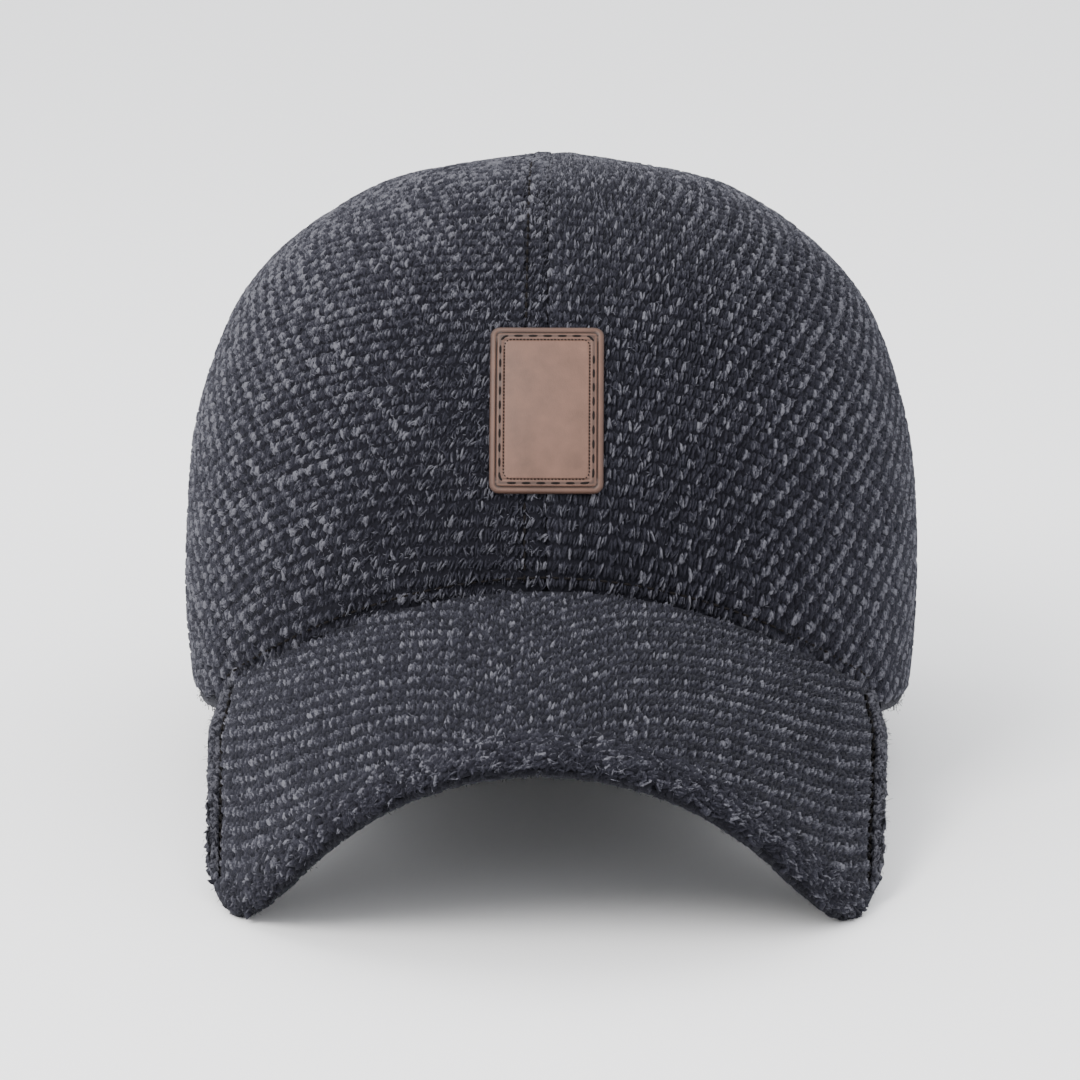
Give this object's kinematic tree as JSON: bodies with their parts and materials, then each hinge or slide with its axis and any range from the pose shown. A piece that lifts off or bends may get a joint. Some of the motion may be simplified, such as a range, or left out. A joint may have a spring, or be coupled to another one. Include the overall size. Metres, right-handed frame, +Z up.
{
  "type": "knitted winter cap with a peak and a folded-in ear flap",
  "caption": "Thick knitted winter cap with a curved peak, a plain leather patch on the front and an ear flap folded up inside, standing on a table",
  "frame": {"origin": "on the table under the middle of the cap's bounding box, as the cap stands by itself", "axes": "+Z up from the table, -Y towards the front of the peak, +X towards the wearer's left"},
  "size_m": [0.1822, 0.2878, 0.1523],
  "materials": {
    "knit": "coarse wool knit, pale grey grains on dark navy",
    "knit_dark": "the same wool knit, darker underneath",
    "fleece": "dark brushed fleece",
    "leather": "satin pinkish brown leather"
  },
  "bodies": {
    "root": {"crown_front_left": "knit", "crown_front_right": "knit", "crown_rear_left": "knit", "crown_rear_right": "knit", "peak_top": "knit", "peak_under": "knit_dark", "ear_flap": "fleece", "label_patch": "leather"}
  },
  "joints": []
}
